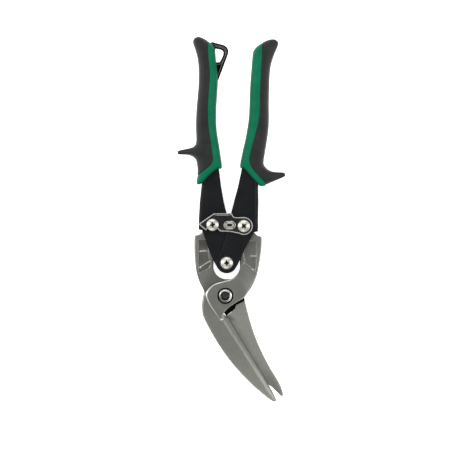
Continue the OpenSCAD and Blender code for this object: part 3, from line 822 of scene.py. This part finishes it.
def screw(node, body, turn, neck=None):
    """A cross-recessed truss head screw on one of the pivots, with a thin neck above a height if given."""
    g = node_grid(0.17, node)
    x, y, z = g.xyz
    low, high = node_box(node)
    at = (low[:2] + high[:2]) / 2
    seat = high[2] - HEAD_H
    shank = thread(x, y, z, at, SCREW_R, low[2] + THREAD_LENGTH)
    shank = meet(shank, np.maximum(low[2] - z, z - seat - 0.4), 0.3)
    if neck is not None:
        shank = np.maximum(shank, -np.maximum(neck - z, -disc(x, y, at, NECK_R)))
    head = meet(head_cover(x, y, z, at, seat), -recess(x, y, z, at, high[2], turn), 0.12)
    solid = np.minimum(head, shank)

    # Painted shade in the cross recess.
    def painted_shade(px, py, pz):
        in_cross = recess(px, py, np.full_like(px, high[2]), at, high[2], turn)
        below = high[2] - np.hypot(px - at[0], py - at[1]) ** 2 / (2 * BALL) - pz
        return ease(in_cross, 0.25, 0.1) * ease(below, 0.0, 0.1)

    piece(node, solid, g, body, NICKEL, 0.5, {"painted_shade": painted_shade})


NECK = node_box("left_screw_collar")[1][2]
screw("right_pivot_screw", "right_handle", 40, NECK)
screw("left_pivot_screw", "left_handle", 12, NECK)
screw("centre_screw", "right_handle", 5)


def hexagon(x, y, at, r):
    """Signed distance to a hexagon of corner radius r."""
    u, v = x - at[0], y - at[1]
    sides = [np.radians(30 + 60 * k) for k in range(6)]
    return np.maximum.reduce([u * np.cos(a) + v * np.sin(a) for a in sides]) - r * np.cos(np.pi / 6)


def nut(node, body):
    """A lock nut: chamfered hexagon with a round collar at its outer end."""
    g = node_grid(0.2, node)
    x, y, z = g.xyz
    low, high = node_box(node)
    at = (low[:2] + high[:2]) / 2
    corner_r, chamfer_r, collar_r, collar_h = 4.6, 4.45, 3.75, 1.0
    hexed = meet(hexagon(x, y, at, corner_r), np.maximum(low[2] + collar_h - z, z - high[2]), 0.15)
    hexed = np.maximum(hexed, disc(x, y, at, chamfer_r) - (z - low[2] - collar_h) * 0.6)
    collar = meet(disc(x, y, at, collar_r), np.maximum(low[2] - z, z - high[2]), 0.35)
    solid = np.maximum(np.minimum(hexed, collar), -disc(x, y, at, SCREW_HOLE))
    piece(node, solid, g, body, ZINC, 0.5)


nut("right_pivot_nut", "right_handle")
nut("left_pivot_nut", "left_handle")
nut("centre_nut", "right_handle")


def ring(node, body, slot, material, inner):
    """A plain washer, collar or sleeve."""
    edge = 0.2
    g = node_grid(0.2, node)
    x, y, z = g.xyz
    low, high = node_box(node)
    at = (low[:2] + high[:2]) / 2
    outer = (high[0] - low[0]) / 2
    solid = rod(x, y, z, at, outer, low[2], high[2], edge)
    solid = meet(solid, -disc(x, y, at, inner), edge * 0.6)
    piece(node, solid, g, body, material, 0.5)


ring("main_washer", "front_jaw", "zinc", ZINC, BOLT_HOLE)
ring("left_screw_collar", "left_handle", "zinc", ZINC, SCREW_HOLE)
ring("centre_washer", "right_handle", "black_steel", BLACKENED, SCREW_HOLE)
ring("centre_spacer", "right_handle", "zinc", ZINC, SCREW_HOLE)


def latch_bush():
    """Flanged sleeve round the right screw's neck, wider inside where the screw is."""
    g = node_grid(0.15, "latch_bush")
    x, y, z = g.xyz
    low, high = node_box("latch_bush")
    flange_r, flange_h, sleeve_r, hole_r = 5.6, 0.35, 3.5, 1.85
    flange = rod(x, y, z, RIGHT, flange_r, low[2], low[2] + flange_h, 0.1)
    sleeve = rod(x, y, z, RIGHT, sleeve_r, low[2], high[2], 0.12)
    hole = disc(x, y, RIGHT, hole_r + 0.7 * (z < NECK + 0.05))
    solid = np.maximum(join(flange, sleeve, 0.15), -hole)
    piece("latch_bush", solid, g, "latch_bush", BRONZE, 0.5)


latch_bush()


def main_bolt():
    """Hex head behind, shank through both jaws and a threaded end in front."""
    g = node_grid(0.24, "main_bolt")
    x, y, z = g.xyz
    low, high = node_box("main_bolt")
    washer_t = 1.05
    head_r, chamfer_r, shank_r, thread_r, dimple_r = 7.5, 7.2, 4.0, 3.5, 1.9
    head_top = -HUB_TOP - washer_t
    head = meet(hexagon(x, y, MAIN, head_r), np.maximum(low[2] - z, z - head_top), 0.2)
    head = np.maximum(head, disc(x, y, MAIN, chamfer_r) - (z - low[2]) * 1.4)
    shank = np.maximum(disc(x, y, MAIN, shank_r), z - COUNTERBORE_FLOOR)
    end = chamfer(thread(x, y, z, MAIN, thread_r), z - high[2], 0.9)
    solid = np.minimum(head, np.maximum(np.minimum(shank, end), low[2] + 1 - z))
    dimple = np.sqrt((x - MAIN[0]) ** 2 + (y - MAIN[1]) ** 2 + (z - high[2] - 1.2) ** 2) - dimple_r
    piece("main_bolt", meet(solid, -dimple, 0.2), g, "front_jaw", BLACKENED, 0.5)


def main_locknut():
    """Round nut in the hub's counterbore."""
    g = node_grid(0.18, "main_locknut")
    x, y, z = g.xyz
    low, high = node_box("main_locknut")
    outer_r, bore_r = 5.15, 3.55
    solid = chamfer(disc(x, y, MAIN, outer_r), z - high[2], 0.7)
    solid = meet(solid, low[2] - z, 0.1)
    solid = chamfer(solid, -disc(x, y, MAIN, bore_r), 0.15)

    # Painted shade on the nut's lower left side, away from the light.
    def painted_shade(px, py, pz):
        return 0.75 * ease(px - MAIN[0] + py - MAIN[1], 0, -4.5) * ease(pz, low[2] + 0.4, low[2] + 0.8)

    piece("main_locknut", solid, g, "front_jaw", BRIGHT, 0.5, {"painted_shade": painted_shade})


main_bolt()
main_locknut()


# ---------------------------------------------------------------- latch

def latch_plate():
    """Hooked plate with an upturned tab along its upper edge."""
    g = node_grid(0.22, "latch_plate")
    x, z = g.x[:, :, None], g.z
    low, high = node_box("latch_plate")
    plate_t = 1.6
    plate_top = low[2] + plate_t
    cut = section("latch_plate", (low[2] + plate_top) / 2)
    tab_cut = section("latch_plate", (plate_top + high[2]) / 2)
    shape = g.flat(outline(g.x, g.y, cut))
    tab_shape = g.flat(outline(g.x, g.y, tab_cut))
    plate = meet(shape, np.maximum(low[2] - z, z - plate_top), 0.3)
    tab_x = (tab_cut[:, :, 0].min(), tab_cut[:, :, 0].max())
    ends = np.abs(x - sum(tab_x) / 2) - (tab_x[1] - tab_x[0]) / 2 + 0.45 * np.maximum(z - plate_top, 0)
    tab = meet(meet(tab_shape, z - high[2], 0.3), np.maximum(ends, low[2] - z), 0.4)
    solid = join(plate, tab, 0.7)

    # Painted highlights along the plate's cut edges and the tab's top edge.
    def painted_highlight(px, py, pz):
        edge = ease(-outline(px, py, cut), 0.9, 0.6)
        lip = ease(-outline(px, py, tab_cut), 0.6, 0.3) * (pz > plate_top + 0.5)
        bore = ease(disc(px, py, RIGHT, 4.8), 0, 0.4)
        return np.maximum(edge * bore * (pz < plate_top + 0.5), lip)

    piece("latch_plate", solid, g, "latch", LATCH, 0.6, {"painted_highlight": painted_highlight})


def latch_boss():
    """Oval boss with a raised ring and a slot."""
    g = node_grid(0.13, "latch_boss")
    x, y, z = g.xyz
    low, high = node_box("latch_boss")
    at = (low + high) / 2
    end_r, ring_r, slot_r = 3.4, 2.45, 0.95
    half = (high[0] - low[0]) / 2 - end_r

    def oval(px, py, r, grow=0.0):
        """Signed distance to an oval of end radius r, grown lengthwise."""
        return np.hypot(np.maximum(np.abs(px - at[0]) - half - grow, 0), py - at[1]) - r

    solid = meet(oval(x, y, end_r), z - high[2], 0.5)
    solid = meet(solid, low[2] - z, 0.05)
    ditch = np.hypot(np.abs(oval(x, y, ring_r)), z - high[2]) - 0.32
    solid = meet(solid, -ditch, 0.08)
    slot = np.maximum(oval(x, y, slot_r, -0.4), low[2] + 0.1 - z)
    solid = meet(solid, -slot, 0.15)

    # Painted shade in the ring groove and the slot.
    def painted_shade(px, py, pz):
        groove = ease(np.abs(oval(px, py, ring_r)), 0.4, 0.15) * ease(np.abs(px - at[0]), 1.6, 2.6)
        hole = ease(oval(px, py, slot_r, -0.4), 0.15, 0)
        return np.maximum(groove, hole)

    piece("latch_boss", solid, g, "latch", NICKEL, 0.6, {"painted_shade": painted_shade})


latch_plate()
latch_boss()


# ---------------------------------------------------------------- opening spring

def opening_spring():
    """Eight turns of round wire between the two tangs."""
    turns, per_turn, sides = 8, 28, 12
    coil_r, wire_r, half = 2.0, 0.4, 8.75
    steps = turns * per_turn
    angle = 2 * np.pi * np.arange(steps + 1) / per_turn
    share = np.arange(steps + 1) / steps
    along = half * (2 * share - 1)
    centre = np.stack([along, coil_r * np.cos(angle), coil_r * np.sin(angle)], 1)
    forward = np.gradient(centre, axis=0)
    forward /= np.linalg.norm(forward, axis=1)[:, None]
    outward = np.stack([0 * angle, np.cos(angle), np.sin(angle)], 1)
    third = np.cross(forward, outward)
    turn = 2 * np.pi * np.arange(sides) / sides
    rings = (centre[:, None] + wire_r * (outward[:, None] * np.cos(turn)[None, :, None]
                                         + third[:, None] * np.sin(turn)[None, :, None]))
    u, v = SPRING_AXIS
    points = np.stack([SPRING_AT[0] + rings[..., 0] * u - rings[..., 1] * v,
                       SPRING_AT[1] + rings[..., 0] * v + rings[..., 1] * u,
                       rings[..., 2]], -1).reshape(-1, 3)
    faces = []
    for first in range(0, steps * sides, sides):
        for k in range(sides):
            after = (k + 1) % sides
            faces.append([first + k, first + after, first + sides + after, first + sides + k])
    faces += [list(range(sides))[::-1], [steps * sides + k for k in range(sides)]]
    made = smooth_object("opening_spring", points, faces)
    made.data.materials.append(SPRING)
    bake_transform(made)
    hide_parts("opening_spring")


opening_spring()


# ---------------------------------------------------------------- stage

def stage_material():
    """Nearly white paper that glows a little."""
    made, shader, place, add, link = new_material("bench", (0.86, 0.86, 0.86), 0.0, 0.7)
    paper = noise(add, place, 0.05, 3)
    color = blend(add, spread(add, paper, 0, 1), (0.86, 0.86, 0.86), (0.89, 0.89, 0.89))
    link(color, shader.inputs["Base Color"])
    shader.inputs["Emission Color"].default_value = (1, 1, 1, 1)
    shader.inputs["Emission Strength"].default_value = 0.8
    return made


def floor():
    """A square bench top, a hair below the object so that their faces never coincide."""
    mesh = bpy.data.meshes.new("bench")
    half, top = 3.0, -0.05 * MM
    corners = [(-half, -half), (half, -half), (half, half), (-half, half)]
    mesh.from_pydata([(a, b, top) for a, b in corners], [], [(0, 1, 2, 3)])
    mesh.materials.append(stage_material())
    made = bpy.data.objects.new("bench", mesh)
    bpy.context.scene.collection.objects.link(made)


def softbox(name, place, size, watts):
    """A rectangular light that faces the middle of the object."""
    target = (0, 0.055, 0)
    light = bpy.data.lights.new(name, "AREA")
    light.shape = "RECTANGLE"
    light.size, light.size_y = size
    light.energy = watts
    made = bpy.data.objects.new(name, light)
    made.location = place
    made.rotation_euler = (Vector(target) - Vector(place)).to_track_quat("-Z", "Y").to_euler()
    bpy.context.scene.collection.objects.link(made)


def camera():
    """Looks straight down, from far away, at a field 360 mm wide."""
    view = bpy.data.cameras.new("camera")
    distance, field = 2.5, 0.36
    view.sensor_width = 36
    view.lens = view.sensor_width * distance / field
    view.clip_end = 20
    made = bpy.data.objects.new("camera", view)
    made.location = (-0.0003, 0.0565, distance + LIFT * MM)
    bpy.context.scene.collection.objects.link(made)
    bpy.context.scene.camera = made


floor()
softbox("left_light", (-0.9, 0.25, 0.75), (0.5, 1.2), 11)
softbox("right_light", (0.95, 0.1, 0.7), (0.5, 1.2), 9)
softbox("head_light", (0.0, 1.15, 0.8), (1.2, 0.5), 9)
softbox("foot_light", (-0.2, -1.0, 0.8), (1.2, 0.5), 6)
world = bpy.data.worlds.new("studio")
world.use_nodes = True
world.node_tree.nodes["Background"].inputs["Color"].default_value = (1, 1, 1, 1)
world.node_tree.nodes["Background"].inputs["Strength"].default_value = 0.35
bpy.context.scene.world = world
bpy.context.scene.view_settings.view_transform = "Standard"
camera()
